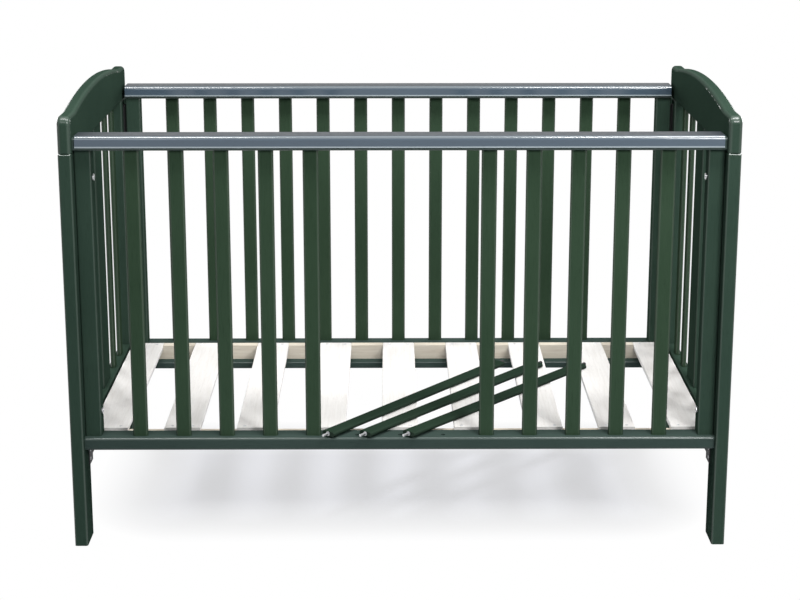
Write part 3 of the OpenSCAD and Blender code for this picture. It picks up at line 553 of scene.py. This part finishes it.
def screws(name, places, sizes, steel, body, node):
    """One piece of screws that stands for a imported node.

    Each place holds where the head's middle is, which way the screw points, and how far it is turned, in
    radians. The screw is set by three directions square to each other: the way that it points, which is
    never along Y, and two across it.
    """
    points, faces = screw_shape(**sizes)
    all_points, all_faces = [], []
    for number, (at, along, spin) in enumerate(places):
        down = np.array(along, float)
        side = np.cross(down, (0.0, 1.0, 0.0))
        turned = math.cos(spin) * side + math.sin(spin) * np.cross(side, down)
        axes = np.stack((turned, np.cross(turned, down), -down))
        all_points.append(points @ axes + np.array(at))
        all_faces += [[corner + number * len(points) for corner in face] for face in faces]
    steel_piece(name, np.vstack(all_points), all_faces, steel, body, node)


def base_screws(steel):
    """Screws that hold the base slats, their heads flush with the slats."""
    corners = corners_of("base_screws")
    top = corners[:, 2].max()
    across, _ = screw_rows(corners[:, 0])
    along, _ = screw_rows(corners[:, 1])
    places = [((x, y, top), (0, 0, -1), np.dot(BASE_SPINS, (i, j)))
              for i, x in enumerate(across) for j, y in enumerate(along)]
    sizes = {**BASE_SCREW, "length": top - corners[:, 2].min()}
    screws("base_screw_set", places, sizes, steel, "base", "base_screws")


def fitting_screws(steel):
    """Screws of the guide tracks and base brackets, driven outwards into the legs."""
    corners = corners_of("fitting_screws")
    places = []
    for side in (-1, 1):
        mine = corners[corners[:, 0] * side > 0]
        rows, row = screw_rows(mine[:, 1])
        for i, y in enumerate(rows):
            group = mine[row == i]
            heights, run = screw_rows(group[:, 2])
            for k, z in enumerate(heights):
                head = (group[run == k][:, 0] * side).min()
                places.append(((side * head, y, z), (side, 0, 0), np.dot(FITTING_SPINS, (i, k))))
    screws("fitting_screw_set", places, FITTING_SCREW, steel, "cot_frame", "fitting_screws")


def coil(length, radius):
    """A spring's round wire wound along +X from 0 to length, closed at both ends.

    The wire's middle keeps to the radius while its angle and its place along X grow evenly together.
    The skin is a circle round that middle, in the plane of the spoke and of X.
    """
    rings = SPRING_STEPS * SPRING_TURNS + 1
    half = SPRING_WIRE / 2
    sides = np.arange(SPRING_SIDES) / SPRING_SIDES
    share, turn = np.meshgrid(np.linspace(0, 1, rings), sides, indexing="ij")
    angle, across = 2 * np.pi * SPRING_TURNS * share, 2 * np.pi * turn
    spoke = radius + half * np.cos(across)
    x = half + (length - SPRING_WIRE) * share + half * np.sin(across)
    points = np.stack((x, spoke * np.cos(angle), spoke * np.sin(angle)), axis=-1).reshape(-1, 3)
    first = list(range(SPRING_SIDES))
    last = [(rings - 1) * SPRING_SIDES + corner for corner in reversed(first)]
    return points, tube_walls(rings, SPRING_SIDES) + [first, last]


def pin_spring(side, turn, steel):
    """The spring behind one loose bar's pin.

    It is wound along the bar, whose direction is the turn's cosine and sine, in the box of the packed
    spring.
    """
    corners = corners_of(side + "_bar_spring")
    along = np.array((math.cos(turn), math.sin(turn), 0.0))
    across = np.array((-math.sin(turn), math.cos(turn), 0.0))
    reach, width, height = corners @ along, corners @ across, corners[:, 2]
    length = reach.max() - reach.min()
    radius = (height.max() - height.min() - SPRING_WIRE) / 2
    middle = across * (width.max() + width.min()) / 2 + (0, 0, (height.max() + height.min()) / 2)
    points, faces = coil(length, radius)
    points = points @ np.stack((along, across, (0, 0, 1))) + middle + along * reach.min()
    piece = steel_piece(side + "_coil", points, faces, steel, side + "_loose_bar", side + "_bar_spring")
    closed_end = middle + along * reach.max()
    (length - PIN_TRAVEL) / length
    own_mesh(piece)


def plain_floor():
    """A wide pale floor that keeps the soft shadow under the cot and goes to plain white around it.

    The distance that the white depends on is measured from a box under the cot.
    """
    corners = [(x * FLOOR_HALF, y * FLOOR_HALF, 0) for x, y in ((-1, -1), (1, -1), (1, 1), (-1, 1))]
    mesh = bpy.data.meshes.new("floor")
    mesh.from_pydata(corners, [], [(0, 1, 2, 3)])
    floor = bpy.data.objects.new("floor", mesh)
    bpy.context.scene.collection.objects.link(floor)
    m = new_material("studio_floor")
    at = m.node("ShaderNodeTexCoord", {}, {}, "Object")
    off_middle = m.vector("ABSOLUTE", m.vector("SUBTRACT", at, SHADE_MIDDLE))
    beyond = m.vector("MAXIMUM", m.vector("SUBTRACT", off_middle, SHADE_HALF), (0, 0, 0))
    away = m.vector("LENGTH", beyond, output="Value")
    whiteness = SHADE_LIFT + (1 - SHADE_LIFT) * m.ramp(away, *SHADE_FADE)
    matt = m.node("ShaderNodeBsdfDiffuse", {}, {"Color": FLOOR_COLOUR})
    white = m.node("ShaderNodeEmission", {}, {"Color": WHITE, "Strength": 1.0})
    mixed = m.node("ShaderNodeMixShader", {}, {0: whiteness * m.seen(), 1: matt, 2: white})
    m.node("ShaderNodeOutputMaterial", {}, {"Surface": mixed})
    mesh.materials.append(m.owner)


def studio_world():
    """Even white surroundings: full white to the eye and in reflections, a soft level as light."""
    world = bpy.data.worlds.new("studio")
    bpy.context.scene.world = world
    m = Shading(world)
    strength = WORLD_LEVEL + (1 - WORLD_LEVEL) * m.seen()
    back = m.node("ShaderNodeBackground", {}, {"Color": WHITE, "Strength": strength})
    m.node("ShaderNodeOutputWorld", {}, {"Surface": back})


def soft_lamp(name, at, towards, size, watts):
    """A flat soft box at one place, facing another."""
    light = bpy.data.lights.new(name, "AREA")
    light.shape = "RECTANGLE"
    light.size, light.size_y = size
    light.energy = watts
    lamp = bpy.data.objects.new(name, light)
    bpy.context.scene.collection.objects.link(lamp)
    way = Vector(towards) - Vector(at)
    lamp.location = at
    lamp.rotation_euler = way.to_track_quat("-Z", "Y").to_euler()
    lamp.visible_camera = False


def camera():
    """The photograph's viewpoint: high in front, looking down a little, long lens."""
    data = bpy.data.cameras.new("camera")
    data.sensor_width = SENSOR_MM
    data.lens = CAMERA_FOCAL_PX / IMAGE_WIDTH * SENSOR_MM
    data.shift_y = CAMERA_SHIFT
    data.clip_end = CAMERA_REACH
    eye = bpy.data.objects.new("camera", data)
    bpy.context.scene.collection.objects.link(eye)
    eye.location = CAMERA_AT
    eye.rotation_euler = (math.radians(90 - CAMERA_PITCH), 0.0, math.radians(CAMERA_YAW))
    bpy.context.scene.camera = eye


camera()
zinc = zinc_steel()
dress_cad_nodes(zinc)
base_screws(zinc)
fitting_screws(zinc)
for bar_name, bar_turn in BAR_TURNS.items():
    pin_spring(bar_name.split("_")[0], math.radians(bar_turn), zinc)
plain_floor()
studio_world()
for lamp_values in LAMPS:
    soft_lamp(*lamp_values)
bpy.context.scene.view_settings.view_transform = "Standard"
